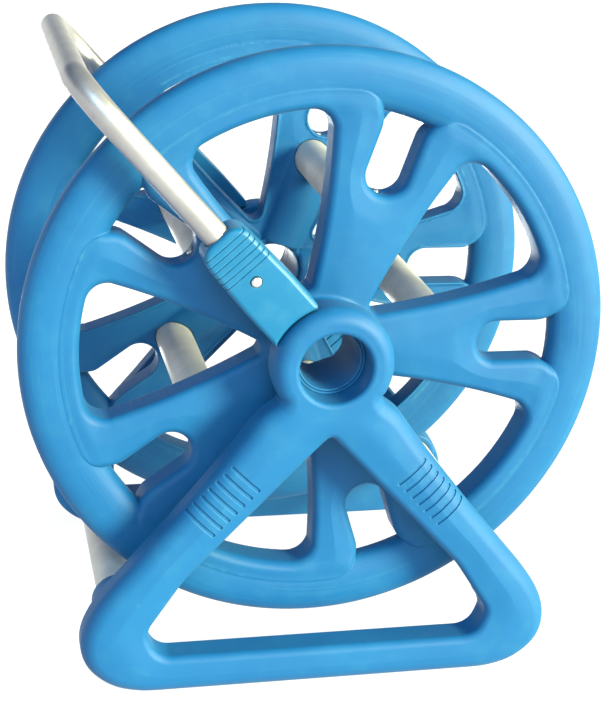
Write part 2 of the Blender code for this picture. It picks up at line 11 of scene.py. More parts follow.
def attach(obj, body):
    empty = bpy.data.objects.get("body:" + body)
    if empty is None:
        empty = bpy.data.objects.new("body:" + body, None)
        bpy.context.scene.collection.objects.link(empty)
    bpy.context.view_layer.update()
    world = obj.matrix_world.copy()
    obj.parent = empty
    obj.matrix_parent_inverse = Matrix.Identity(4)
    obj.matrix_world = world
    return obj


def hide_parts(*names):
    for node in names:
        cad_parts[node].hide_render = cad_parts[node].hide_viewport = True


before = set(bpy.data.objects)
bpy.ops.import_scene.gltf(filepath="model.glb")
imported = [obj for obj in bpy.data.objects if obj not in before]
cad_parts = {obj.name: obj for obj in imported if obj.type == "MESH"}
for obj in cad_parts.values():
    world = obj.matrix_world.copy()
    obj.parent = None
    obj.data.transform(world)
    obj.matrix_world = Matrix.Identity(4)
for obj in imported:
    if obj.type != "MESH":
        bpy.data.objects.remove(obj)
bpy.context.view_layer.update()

# Dimensions, in metres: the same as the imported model's -------------------------

R = 0.290
AXLE_Z = 0.336
WHEEL_Y = 0.130
WHEEL_HALF = 0.0175
RIM_IN = 0.811 * R
PETAL_R = 0.870 * R
WINDOW_R = 0.803 * R
SLOT_R = 0.545 * R
SLOT_HALF = 0.071 * R
HUB_R = 0.0515
HUB_OUT_Y = 0.1630
HUB_IN_Y = 0.1130
HUB_RING_Y = 0.1075
JOURNAL_OUT_Y = 0.1790
BUSH_OUT_Y = 0.1800
TUBE_R = 0.020
TUBE_WALL = 0.0020
DRUM_R = 0.455 * R
SOCKET_DEPTH = 0.022
FRAME_FRONT = 0.2080
FRAME_BACK = 0.1725
BOSS_R = 0.203 * R
BORE_R = 0.120 * R
COLLAR_R = 0.0270
BASE_X = 0.672 * R
BASE_Z = AXLE_Z - 0.875 * R
JOURNAL_R = 0.0320
JOURNAL_IN = 0.0298
ARM_DEG = 132.2
ARM_Y = 0.1850
HANDLE_R = 0.0125
HANDLE_WALL = 0.0016
HANDLE_REACH = 1.215 * R
HANDLE_BEND = 0.050
ARM_START = 0.0900
BUTTON_AT = 0.403 * R
SOCKET_TOP = 0.586 * R
SOCKET_BOTTOM = 0.2105 * R
SOCKET_HALF = 0.0275
SOCKET_FRONT = 0.2030
SOCKET_BACK = 0.1675
TONGUE_FRONT = 0.1672
TONGUE_BACK = 0.1585
DRUM_SCREW_Y = 0.1240
SPOKES = 5

parts = bpy.data.collections.new("hose_reel_looks")
bpy.context.scene.collection.children.link(parts)


# Node materials ------------------------------------------------------------------


class Nodes:
    """A small helper for wiring a node tree."""

    def __init__(self, name):
        self.material = bpy.data.materials.new(name)
        self.material.use_nodes = True
        self.tree = self.material.node_tree
        self.shader = self.tree.nodes["Principled BSDF"]

    def add(self, kind, settings=(), **inputs):
        node = self.tree.nodes.new(kind)
        for key, value in dict(settings).items():
            setattr(node, key, value)
        for key, value in inputs.items():
            self.set(node, key, value)
        return node

    def set(self, node, key, value):
        socket = node.inputs[int(key[1:])] if key[0] == "i" and key[1:].isdigit() else node.inputs[key.replace("_", " ")]
        if isinstance(value, bpy.types.NodeSocket):
            self.tree.links.new(value, socket)
        else:
            socket.default_value = value

    def math(self, operation, a, b=None, clamp=False):
        node = self.add("ShaderNodeMath", {"operation": operation, "use_clamp": clamp})
        self.set(node, "i0", a)
        if b is not None:
            self.set(node, "i1", b)
        return node.outputs[0]

    def noise(self, vector, scale, detail=3.0, roughness=0.5, distortion=0.0):
        node = self.add("ShaderNodeTexNoise", {}, Vector=vector, Scale=scale, Detail=detail,
                        Roughness=roughness, Distortion=distortion)
        return node.outputs["Fac"]

    def ramp(self, value, low, high, to_low=0.0, to_high=1.0):
        node = self.add("ShaderNodeMapRange", {"interpolation_type": "SMOOTHSTEP"}, Value=value)
        node.inputs["From Min"].default_value = low
        node.inputs["From Max"].default_value = high
        node.inputs["To Min"].default_value = to_low
        node.inputs["To Max"].default_value = to_high
        return node.outputs["Result"]

    def mix(self, factor, a, b):
        node = self.add("ShaderNodeMix", {"data_type": "RGBA"})
        self.set(node, "i0", factor)
        for socket, value in ((node.inputs[6], a), (node.inputs[7], b)):
            if isinstance(value, bpy.types.NodeSocket):
                self.tree.links.new(value, socket)
            else:
                socket.default_value = (*value, 1.0)
        return node.outputs[2]

    def bump(self, height, strength, distance, normal=None):
        node = self.add("ShaderNodeBump", {}, Height=height, Strength=strength, Distance=distance)
        if normal is not None:
            self.tree.links.new(normal, node.inputs["Normal"])
        return node.outputs["Normal"]


def plastic(name, base, dark, pale, roughness, rings=False, grain=0.00005, edge=0.35, gloss=0.25):
    """Moulded plastic: a slightly mottled colour, a fine skin texture, flow marks and sharp edges painted paler as a
    highlight.
    """
    n = Nodes(name)
    place = n.add("ShaderNodeTexCoord").outputs["Object"]
    broad = n.noise(place, 7.0, 3.0, 0.55)
    middle = n.noise(place, 46.0, 4.0, 0.6)
    fine = n.noise(place, 900.0, 2.0, 0.5)
    colour = n.mix(n.ramp(broad, 0.34, 0.68), dark, base)
    colour = n.mix(n.math("MULTIPLY", n.ramp(middle, 0.45, 0.75), 0.16), colour, pale)
    # Painted highlight: sharp edges (high pointiness) are mixed towards the pale colour, broken up by noise and scaled
    # by edge
    painted_edge_highlight = n.ramp(n.add("ShaderNodeNewGeometry").outputs["Pointiness"], 0.505, 0.56)
    painted_edge_highlight = n.math("MULTIPLY", painted_edge_highlight, n.math("MULTIPLY", n.ramp(n.noise(place, 24.0, 4.0, 0.65), 0.30, 0.66), edge))
    colour = n.mix(painted_edge_highlight, colour, pale)
    n.set(n.shader, "Base Color", colour)
    rough = n.math("ADD", n.math("MULTIPLY", middle, 0.12), roughness - 0.06)
    rough = n.math("ADD", rough, n.math("MULTIPLY", n.ramp(broad, 0.3, 0.7), 0.05))
    n.set(n.shader, "Roughness", rough)
    normal = n.bump(fine, 0.30, grain)
    normal = n.bump(n.noise(place, 130.0, 3.0, 0.5), 0.22, 0.00025, normal)
    if rings:
        split = n.add("ShaderNodeSeparateXYZ", {}, Vector=place)
        x, z = split.outputs["X"], n.math("SUBTRACT", split.outputs["Z"], AXLE_Z)
        radius = n.math("SQRT", n.math("ADD", n.math("MULTIPLY", x, x), n.math("MULTIPLY", z, z)))
        angle = n.math("ARCTAN2", z, x)
        around = n.add("ShaderNodeCombineXYZ", {}, X=n.math("MULTIPLY", radius, 260.0), Y=n.math("MULTIPLY", angle, 1.1), Z=n.math("MULTIPLY", split.outputs["Y"], 40.0))
        streak = n.noise(around.outputs["Vector"], 1.0, 4.0, 0.6, 0.25)
        outer = n.ramp(radius, 0.205, 0.262)
        normal = n.bump(n.math("MULTIPLY", streak, outer), 0.35, 0.0006, normal)
        band = n.math("MULTIPLY", n.ramp(streak, 0.52, 0.74), n.math("MULTIPLY", outer, 0.22))
        colour = n.mix(band, colour, pale)
        n.set(n.shader, "Base Color", colour)
    n.tree.links.new(normal, n.shader.inputs["Normal"])
    n.shader.inputs["Specular IOR Level"].default_value = gloss
    n.shader.inputs["IOR"].default_value = 1.5
    n.shader.inputs["Sheen Weight"].default_value = 0.02
    n.shader.inputs["Sheen Roughness"].default_value = 0.45
    n.shader.inputs["Subsurface Weight"].default_value = 0.0
    return n.material


def metal(name, base, pale, roughness, axis, metallic=1.0, streaks=420.0, depth=0.00002, spots=0.25):
    """Drawn aluminium or steel: lengthwise drawing lines, cloudy anodising and small handling marks."""
    n = Nodes(name)
    place = n.add("ShaderNodeTexCoord").outputs["Object"]
    scale = [streaks] * 3
    if axis is not None:
        scale["XYZ".index(axis)] = streaks * 0.012
    stretched = n.add("ShaderNodeMapping", {}, Vector=place)
    stretched.inputs["Scale"].default_value = scale
    if axis is None:
        stretched.inputs["Rotation"].default_value = (0.0, -math.radians(ARM_DEG), 0.0)
        stretched.inputs["Scale"].default_value = (streaks * 0.012, streaks, streaks)
    line = n.noise(stretched.outputs["Vector"], 1.0, 3.0, 0.6)
    cloud = n.noise(place, 26.0, 4.0, 0.6)
    speck = n.ramp(n.noise(place, 260.0, 2.0, 0.4), 0.64, 0.74)
    colour = n.mix(n.ramp(cloud, 0.35, 0.7), base, pale)
    colour = n.mix(n.math("MULTIPLY", speck, spots), colour, [0.55 * v for v in base])
    n.set(n.shader, "Base Color", colour)
    rough = n.math("ADD", n.math("MULTIPLY", line, 0.16), roughness - 0.08)
    rough = n.math("ADD", rough, n.math("MULTIPLY", cloud, 0.08))
    n.set(n.shader, "Roughness", rough)
    n.shader.inputs["Metallic"].default_value = metallic
    normal = n.bump(line, 0.35, depth)
    normal = n.bump(n.noise(place, 700.0, 2.0, 0.5), 0.18, depth, normal)
    n.tree.links.new(normal, n.shader.inputs["Normal"])
    return n.material


# edge sets how strongly the painted edge highlight lightens each plastic
BLUE = plastic("blue_moulded_plastic", (0.0026, 0.0870, 0.226), (0.0020, 0.0760, 0.207), (0.022, 0.148, 0.248), 0.53, grain=0.00006, edge=0.5)
WHEEL_BLUE = plastic("blue_wheel_plastic", (0.0026, 0.0870, 0.226), (0.0020, 0.0760, 0.207), (0.022, 0.148, 0.248), 0.54, rings=True, grain=0.00006, edge=0.35)
CYAN = plastic("sea_blue_plastic", (0.0028, 0.106, 0.232), (0.0022, 0.096, 0.216), (0.042, 0.170, 0.258), 0.40, grain=0.00004, edge=0.6, gloss=0.30)
TUBE = metal("matte_aluminium", (0.46, 0.437, 0.415), (0.55, 0.525, 0.50), 0.52, "Y", metallic=0.30, depth=0.00003)
BRIGHT = metal("satin_aluminium_arm", (0.34, 0.325, 0.338), (0.40, 0.385, 0.40), 0.40, None, metallic=0.80)
PIN = metal("satin_steel_pin", (0.62, 0.61, 0.60), (0.72, 0.71, 0.70), 0.30, "Y", streaks=600.0, depth=0.00001, spots=0.1)
STEEL = metal("stainless_steel", (0.44, 0.44, 0.44), (0.55, 0.55, 0.54), 0.30, "Z", streaks=900.0, depth=0.00001)


# Making objects --------------------------------------------------------------------


def show(name, mesh, look, body, nodes):
    mesh.materials.clear()
    mesh.materials.append(look)
    made = bpy.data.objects.new(name, mesh)
    parts.objects.link(made)
    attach(made, body)
    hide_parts(*nodes)
    return made


def flipped(mesh, name):
    """The mirror image of a mesh across the plane between the wheels."""
    twin = mesh.copy()
    twin.name = name
    twin.transform(Matrix.Scale(-1, 4, (0, 1, 0)))
    twin.flip_normals()
    return twin


def smooth(mesh, angle=40):
    mesh.shade_smooth()
    mesh.set_sharp_from_angle(angle=math.radians(angle))
    return mesh


def polar(radius, degrees):
    a = math.radians(degrees)
    return np.array((radius * math.cos(a), radius * math.sin(a)))


def arc(centre, radius, start, end, steps):
    t = np.radians(np.linspace(start, end, steps + 1))
    return np.stack([centre[0] + radius * np.cos(t), centre[1] + radius * np.sin(t)], 1)


def turn2(points, degrees):
    a = math.radians(degrees)
    c, s = math.cos(a), math.sin(a)
    points = np.asarray(points, float)
    return np.stack([points[:, 0] * c - points[:, 1] * s, points[:, 0] * s + points[:, 1] * c], 1)


def spline(points, steps=6):
    """A closed Catmull-Rom curve through points."""
    points = np.asarray(points, float)
    out = []
    count = len(points)
    for k in range(count):
        p0, p1, p2, p3 = (points[(k + j) % count] for j in (-1, 0, 1, 2))
        t1 = np.linalg.norm(p1 - p0) ** 0.5
        t2 = t1 + np.linalg.norm(p2 - p1) ** 0.5
        t3 = t2 + np.linalg.norm(p3 - p2) ** 0.5
        for s in range(steps):
            t = t1 + (t2 - t1) * s / steps
            a1 = (t1 - t) / t1 * p0 + t / t1 * p1
            a2 = (t2 - t) / (t2 - t1) * p1 + (t - t1) / (t2 - t1) * p2
            a3 = (t3 - t) / (t3 - t2) * p2 + (t - t2) / (t3 - t2) * p3
            b1 = (t2 - t) / t2 * a1 + t / t2 * a2
            b2 = (t3 - t) / (t3 - t1) * a2 + (t - t1) / (t3 - t1) * a3
            out.append((t2 - t) / (t2 - t1) * b1 + (t - t1) / (t2 - t1) * b2)
    return np.array(out)


# Solids from distance fields ----------------------------------------------------------


def outline_distance(px, pz, points):
    """Signed distance in the side plane to a closed outline, negative inside."""
    best = np.full(px.shape, 1e9)
    inside = np.zeros(px.shape, bool)
    ax, az = points[-1]
    for bx, bz in points:
        ex, ez = bx - ax, bz - az
        length = ex * ex + ez * ez
        if length < 1e-16:
            continue
        wx, wz = px - ax, pz - az
        t = np.clip((wx * ex + wz * ez) / length, 0, 1)
        best = np.minimum(best, (wx - ex * t) ** 2 + (wz - ez * t) ** 2)
        if ez != 0:
            inside ^= ((az > pz) != (bz > pz)) & (px < ex * wz / ez + ax)
        ax, az = bx, bz
    return np.sqrt(best) * np.where(inside, -1.0, 1.0)


def both(a, b, radius=0.0):
    """Intersection of two fields, with the edge between them rounded."""
    if np.isscalar(radius) and radius <= 0:
        return np.maximum(a, b)
    u, v = a + radius, b + radius
    return np.sqrt(np.maximum(u, 0) ** 2 + np.maximum(v, 0) ** 2) + np.minimum(np.maximum(u, v), 0) - radius


def either(a, b, k=0.0):
    """Union of two fields, with the valley between them filled."""
    if k <= 0:
        return np.minimum(a, b)
    h = np.clip(0.5 + 0.5 * (b - a) / k, 0, 1)
    return b * (1 - h) + a * h - k * h * (1 - h)


def without(a, b, k=0.0):
    return -either(-a, b, k)


def rise(value, low, high):
    t = np.clip((value - low) / (high - low), 0, 1)
    return t * t * (3 - 2 * t)


class Field:
    """A solid as a function of plane distances and position, sampled on a grid and turned into a mesh."""

    def __init__(self, low, high, step, planar, solid):
        self.low = np.array(low, float)
        self.step = step
        self.count = np.ceil((np.array(high, float) - self.low) / step).astype(int) + 1
        self.solid = solid
        xs, self.ys, zs = (self.low[k] + step * np.arange(self.count[k]) for k in range(3))
        gx, gz = np.meshgrid(xs, zs, indexing="ij")
        self.planar = planar(gx, gz)
        self.xs, self.zs = xs, zs

    def values(self):
        x, z = self.xs[:, None, None], self.zs[None, None, :]
        y = self.ys[None, :, None]
        plane = {k: v[:, None, :] for k, v in self.planar.items()}
        return self.solid(plane, x, y, z) + np.zeros(tuple(self.count))

    def at(self, p):
        x, y, z = p[:, 0], p[:, 1], p[:, 2]
        u = np.clip((x - self.low[0]) / self.step, 0, self.count[0] - 1.001)
        w = np.clip((z - self.low[2]) / self.step, 0, self.count[2] - 1.001)
        i, k = u.astype(int), w.astype(int)
        u, w = u - i, w - k
        plane = {
            key: (v[i, k] * (1 - u) + v[i + 1, k] * u) * (1 - w) + (v[i, k + 1] * (1 - u) + v[i + 1, k + 1] * u) * w
            for key, v in self.planar.items()
        }
        return self.solid(plane, x, y, z)

    def gradient(self, p, h):
        out = np.empty_like(p)
        for axis in range(3):
            move = np.zeros(3)
            move[axis] = h
            out[:, axis] = (self.at(p + move) - self.at(p - move)) / (2 * h)
        return out

    def settle(self, p, rounds=2):
        limit = 0.6 * self.step
        for _ in range(rounds):
            g = self.gradient(p, 0.35 * self.step)
            size = np.maximum((g * g).sum(1), 0.05)
            move = -self.at(p)[:, None] * g / size[:, None]
            far = np.linalg.norm(move, axis=1)
            move *= np.minimum(1.0, limit / np.maximum(far, 1e-12))[:, None]
            p = p + move
        return p

    def mesh(self, name, faces=0):
        """Quads with one point in each grid cell that the surface crosses."""
        f = self.values()
        s = f < 0
        n = self.count - 1
        total = np.zeros(tuple(n), np.int8)
        corners = [(i, j, k) for i in (0, 1) for j in (0, 1) for k in (0, 1)]
        for i, j, k in corners:
            total += s[i:n[0] + i, j:n[1] + j, k:n[2] + k]
        mixed = (total > 0) & (total < 8)
        cells = np.argwhere(mixed)
        index = np.full(tuple(n), -1, np.int64)
        index[mixed] = np.arange(len(cells))
        place = np.zeros((len(cells), 3))
        hits = np.zeros(len(cells))
        for a in corners:
            for axis in range(3):
                if a[axis]:
                    continue
                b = list(a)
                b[axis] = 1
                fa = f[cells[:, 0] + a[0], cells[:, 1] + a[1], cells[:, 2] + a[2]]
                fb = f[cells[:, 0] + b[0], cells[:, 1] + b[1], cells[:, 2] + b[2]]
                cross = (fa < 0) != (fb < 0)
                t = np.where(cross, fa / np.where(cross, fa - fb, 1), 0)
                point = np.array(a, float)[None, :] + t[:, None] * (np.array(b) - np.array(a))[None, :]
                place += np.where(cross[:, None], point, 0)
                hits += cross
        p = self.low + (cells + place / hits[:, None]) * self.step
        quads = []
        for axis in range(3):
            u, v = (axis + 1) % 3, (axis + 2) % 3
            one = [slice(None)] * 3
            two = [slice(None)] * 3
            one[axis], two[axis] = slice(0, -1), slice(1, None)
            change = s[tuple(one)] != s[tuple(two)]
            where = np.argwhere(change)
            keep = (where[:, u] > 0) & (where[:, v] > 0) & (where[:, u] < n[u]) & (where[:, v] < n[v])
            where = where[keep]
            inward = s[tuple(one)][tuple(where.T)]
            ring = []
            for du, dv in ((-1, -1), (0, -1), (0, 0), (-1, 0)):
                cell = where.copy()
                cell[:, u] += du
                cell[:, v] += dv
                ring.append(index[tuple(cell.T)])
            ring = np.stack(ring, 1)
            ring[~inward] = ring[~inward][:, ::-1]
            quads.append(ring)
        quads = np.concatenate(quads)
        p = self.settle(p, 2)
        mesh = bpy.data.meshes.new(name)
        mesh.vertices.add(len(p))
        mesh.vertices.foreach_set("co", p.astype(np.float32).ravel())
        mesh.loops.add(quads.size)
        mesh.loops.foreach_set("vertex_index", quads.astype(np.int32).ravel())
        mesh.polygons.add(len(quads))
        mesh.polygons.foreach_set("loop_start", np.arange(0, quads.size, 4, dtype=np.int32))
        mesh.update(calc_edges=True)
        mesh.validate()
        if faces and 2 * len(quads) > faces:
            mesh = thinned(mesh, faces / (2 * len(quads)))
            p = np.empty(len(mesh.vertices) * 3, np.float32)
            mesh.vertices.foreach_get("co", p)
            p = self.settle(p.reshape(-1, 3).astype(float), 2)
            mesh.vertices.foreach_set("co", p.astype(np.float32).ravel())
            mesh.update()
        mesh.name = name
        mesh.shade_smooth()
        g = self.gradient(p, 0.35 * self.step)
        g /= np.maximum(np.linalg.norm(g, axis=1), 1e-9)[:, None]
        mesh.normals_split_custom_set_from_vertices(g.astype(np.float32))
        return mesh


def thinned(mesh, ratio):
    """The mesh with fewer faces where it is flat."""
    guide = bpy.data.objects.new("thin", mesh)
    bpy.context.scene.collection.objects.link(guide)
    change = guide.modifiers.new("thin", "DECIMATE")
    change.ratio = ratio
    change.use_collapse_triangulate = True
    bpy.context.view_layer.update()
    made = bpy.data.meshes.new_from_object(guide.evaluated_get(bpy.context.evaluated_depsgraph_get()))
    bpy.data.objects.remove(guide, do_unlink=True)
    bpy.data.meshes.remove(mesh)
    return made


# Wheels ----------------------------------------------------------------------------------


def petal_outline():
    corner = 0.100 * R
    off = SLOT_HALF + corner
    along = math.sqrt((PETAL_R - corner) ** 2 - off ** 2)
    tilt = math.degrees(math.atan2(off, along))
    out = []
    for k in (-1, 0, 1):
        axis = 72.0 * k
        local = np.vstack([
            arc((along, -off), corner, -tilt, 90, 12),
            arc((SLOT_R + SLOT_HALF, 0), SLOT_HALF, 270, 90, 20),
            arc((along, off), corner, 270, 360 + tilt, 12),
        ])
        out.append(turn2(local, axis))
        out.append(arc((0, 0), PETAL_R, axis + tilt, axis + 72 - tilt, 12)[1:-1])
    return np.vstack(out + [[(0, 0)]])


def window_outline(axis=0.0):
    start, end = np.array((0.224 * R, 0.029 * R)), np.array((0.705 * R, 0.2345 * R))
    side = []
    for k in range(13):
        t = k / 12
        p = start + (end - start) * t
        side.append(p + np.array((0, 0.014 * R * 4 * t * (1 - t))))
    side = np.array(side)
    corner = 0.072 * R
    heading = math.degrees(math.atan2(*(side[-1] - side[-2])[::-1]))
    centre = side[-1] + polar(corner, heading - 90)
    centre = centre / np.linalg.norm(centre) * (WINDOW_R - corner)
    turned_to = math.degrees(math.atan2(centre[1], centre[0]))
    first = arc(centre, corner, heading + 90, turned_to, 14)
    rim = arc((0, 0), WINDOW_R, turned_to, 0, 10)[1:]
    half = np.vstack([arc((0.236 * R, 0), 0.031 * R, 180, 118, 8), side[1:], first[1:], rim])
    return turn2(np.vstack([half, half[-2:0:-1] * (1, -1)]), axis)


def wheel_planar(x, z):
    z = z - AXLE_Z
    radius = np.hypot(x, z)
    angle = np.arctan2(z, x)
    fold = (angle + math.pi / 5) % (2 * math.pi / 5) - math.pi / 5
    fx, fz = radius * np.cos(fold), np.abs(radius * np.sin(fold))
    slot = np.where(fx > SLOT_R + SLOT_HALF, fz - SLOT_HALF, np.hypot(fx - SLOT_R - SLOT_HALF, fz) - SLOT_HALF)
    return {
        "petal": outline_distance(fx, fz, petal_outline()),
        "window": -outline_distance(fx, fz, window_outline(36.0)),
        "slot": -slot,
    }


FACE = WHEEL_HALF + 0.0004


def wheel_solid(plane, x, y, z):
    """The front wheel. y runs from the outer face, near -0.148, to the inner face, near -0.112."""
    z = z - AXLE_Z
    radius = np.hypot(x, z)
    fold = (np.arctan2(z, x) + math.pi / 5) % (2 * math.pi / 5) - math.pi / 5
    fx, fz = radius * np.cos(fold), np.abs(radius * np.sin(fold))
    depth = y + WHEEL_Y
    # Distance into the material from the nearest window or slot: the faces are slightly crowned
    into = np.minimum(-plane["window"], -plane["slot"])
    crown = 0.0026 * (1 - rise(into, 0.0, 0.030)) * (1 - rise(radius, 0.226, 0.246))
    lip = 0.0011 * rise(into, 0.0, 0.0006) * (1 - rise(into, 0.0020, 0.0034)) * (1 - rise(radius, 0.232, 0.244))
    # Towards the rim the plate comes down almost flush with it, and only a fine line parts them
    near_rim = rise(radius, 0.236, 0.249)
    dish = 0.0016 * (1 - rise(radius, 0.0390, 0.0480))
    outer = -FACE + crown + 0.0007 * near_rim - depth
    inner = depth - FACE + 0.5 * crown - lip + dish + 0.0007 * near_rim
    front = np.maximum(both(plane["window"], outer, 0.0080), both(plane["petal"], outer, 0.0080 - 0.0068 * near_rim))
    back = both(np.maximum(plane["window"], plane["petal"]), inner, 0.0012)
    body = np.maximum(front, back)
    middle, half = (R + RIM_IN) / 2, (R - RIM_IN) / 2
    power = 2 / 0.82
    ring = ((np.abs((radius - middle) / half) ** power + np.abs(depth / WHEEL_HALF) ** power) ** (1 / power) - 1) * WHEEL_HALF
    body = either(body, ring, 0.0014)
    hub = both(radius - HUB_R, np.maximum(-HUB_OUT_Y - y, y + HUB_IN_Y + 0.008), 0.0040)
    body = either(body, hub, 0.0050)
    ring = both(radius - 0.0362, np.maximum(-0.150 - y, y + HUB_RING_Y), 0.0016)
    body = either(body, ring, 0.0012)
    bulge = both(np.hypot(fz, y + 0.1205) - 0.0245, np.maximum(fx - (DRUM_R + 0.0065), 0.030 - fx), 0.0045)
    body = either(body, bulge, 0.0040)
    pocket = np.maximum(np.hypot(fx - DRUM_R, fz) - (TUBE_R + 0.0005), (-WHEEL_Y + WHEEL_HALF - SOCKET_DEPTH - 0.0003) - y)
    body = without(body, pocket, 0.0010)
    seat = np.maximum(np.hypot(fz, y + DRUM_SCREW_Y) - 0.0050, SLOT_R - 0.0010 - fx)
    body = without(body, np.maximum(seat, fx - SLOT_R - 0.010), 0.0005)
    return np.maximum(body, JOURNAL_R + 0.0003 - radius)


step = 0.0012
edge = R + 0.004
wheel = Field((-edge, -0.1665, AXLE_Z - edge), (edge, -0.0910, AXLE_Z + edge), step, wheel_planar, wheel_solid).mesh("front_wheel_shell", 190000)
show("front_wheel_moulding", wheel, WHEEL_BLUE, "reel", ["front_wheel"])
show("rear_wheel_moulding", flipped(wheel, "rear_wheel_shell"), WHEEL_BLUE, "reel", ["rear_wheel"])


# Side frames --------------------------------------------------------------------------------


def frame_outline():
    right = [(0.235, -0.172), (0.286, -0.240), (0.340, -0.312), (0.402, -0.390), (0.500, -0.512),
             (0.577, -0.603), (0.661, -0.703), (0.742, -0.800), (0.782, -0.862), (0.805, -0.915),
             (0.8135, -0.960), (0.810, -1.006), (0.790, -1.054), (0.748, -1.100), (0.693, -1.134),
             (0.620, -1.1535)]
    right = np.array(right) * R
    foot = -AXLE_Z + 0.0002
    right = np.vstack([right, [(0.56 * R, foot)]])
    left = right[::-1] * (-1, 1)
    boss = arc((0, 0), BOSS_R, 214, -34, 40)
    curve = spline(np.vstack([boss, right, left]), 4)
    curve[:, 1] = np.maximum(curve[:, 1], foot)
    return curve


def rounded(corners, steps=10):
    out = []
    count = len(corners)
    for k in range(count):
        x, z, radius = corners[k]
        here = Vector((x, z))
        before = (Vector(corners[k - 1][:2]) - here).normalized()
        after = (Vector(corners[(k + 1) % count][:2]) - here).normalized()
        if radius <= 0:
            out.append(tuple(here))
            continue
        half = before.angle(after) / 2
        length = radius / math.tan(half)
        centre = here + (before + after).normalized() * radius / math.sin(half)
        a = here + before * length - centre
        b = here + after * length - centre
        turn = a.angle_signed(b)
        for s in range(steps + 1):
            out.append(tuple(centre + Matrix.Rotation(-turn * s / steps, 2) @ a))
    return np.array(out)


def opening_outline():
    top, slope = -0.236, 1.058
    corners = [
        (0, top, 0.016), (0.470, top - slope * 0.470, 0.35), (0.597, -0.925, 0.060),
        (0.560, -1.0215, 0.075), (-0.560, -1.0215, 0.075), (-0.597, -0.925, 0.060),
        (-0.470, top - slope * 0.470, 0.35),
    ]
    return rounded([(x * R, z * R, r * R) for x, z, r in corners])


def frame_planar(x, z):
    z = z - AXLE_Z
    return {
        "outside": outline_distance(x, z, frame_outline()),
        "opening": -outline_distance(x, z, opening_outline()),
    }


def frame_solid(plane, x, y, z):
    """The front side frame. y runs from the outer face at -0.208 to the inner face at -0.1725."""
    z = z - AXLE_Z
    radius = np.hypot(x, z)
    outer, inner = -FRAME_FRONT - y, y + FRAME_BACK
    # The outer face is domed across the legs
    into = np.minimum(-plane["outside"], -plane["opening"])
    dome = 0.0040 * (1 - rise(into, -0.004, 0.031)) * rise(radius, 0.050, 0.085) * (1 - 0.5 * rise(-z, 0.27, 0.31))
    outer = outer + dome
    shell = both(plane["outside"], outer, 0.0145)
    shell = np.maximum(shell, both(plane["outside"], inner, 0.0035))
    hole = np.maximum(both(plane["opening"], outer, 0.0070), both(plane["opening"], inner, 0.0020))
    bore = both(BORE_R - radius, outer, 0.0050)
    body = np.maximum(np.maximum(shell, hole), bore)
    # Collars round the ends of the base tubes
    side = np.hypot(np.abs(x) - BASE_X, z + (AXLE_Z - BASE_Z))
    collar = both(side - COLLAR_R, np.maximum(-(FRAME_BACK + 0.012) - y, y + 0.1530), 0.0025)
    body = either(body, collar, 0.0030)
    # Tongue behind the handle socket, and its root on the boss
    c, s = math.cos(math.radians(ARM_DEG)), math.sin(math.radians(ARM_DEG))
    along, across = x * c + z * s, -x * s + z * c
    flat = both(np.abs(across) - 0.0145, np.maximum(along - 0.165, 0.0530 - along), 0.0030)
    tongue = both(flat, np.maximum(-TONGUE_FRONT - y, y + TONGUE_BACK), 0.0012)
    root = np.maximum(both(np.abs(across) - 0.0150, np.maximum(along - 0.0585, 0.0525 - along), 0.0010), np.maximum(-0.1800 - y, y + TONGUE_BACK))
    body = either(body, either(tongue, root, 0.0010), 0.0008)
    body = np.maximum(body, np.where(y > -FRAME_BACK + 0.0005, BORE_R + 0.0100 - radius, BORE_R - radius))
    pocket = np.maximum(side - (TUBE_R + 0.0005), -0.1853 - y)
    body = without(body, pocket, 0.0008)
    # Grip grooves across both legs
    lx = np.abs(x)
    u = (lx - 0.0015) * 0.6871 - (z + 0.0240) * 0.7266
    v = (lx - 0.0015) * 0.7266 + (z + 0.0240) * 0.6871
    pitch = 0.0102
    k = np.clip(np.round((u - 0.1165) / pitch), 0, 6)
    du = u - 0.1165 - k * pitch
    groove = np.maximum(both(np.abs(v) - 0.0180, np.abs(du) - 0.0015, 0.0012), -body - 0.0016)
    return without(body, groove, 0.0009)


step = 0.0009
frame_mesh = Field((-0.242, -0.2105, -0.0035), (0.242, -0.1500, AXLE_Z + BOSS_R + 0.004), step, frame_planar, frame_solid).mesh("front_frame_shell", 190000)
show("front_frame_moulding", frame_mesh, BLUE, "frame", ["front_side_frame"])
show("rear_frame_moulding", flipped(frame_mesh, "rear_frame_shell"), BLUE, "frame", ["rear_side_frame"])


# Handle sockets ----------------------------------------------------------------------------------


def socket_planar(x, z):
    half, top = SOCKET_HALF, SOCKET_TOP
    spread = math.degrees(math.asin(half / SOCKET_BOTTOM))
    narrow = half - 0.0030
    points = np.vstack([
        arc((0, 0), SOCKET_BOTTOM, -spread, spread, 24),
        rounded([(0.100, half, 0), (top, narrow, 0.016), (top, -narrow, 0.016), (0.100, -half, 0)]),
    ])
    return {"outside": outline_distance(x, z - AXLE_Z, turn2(points, ARM_DEG))}


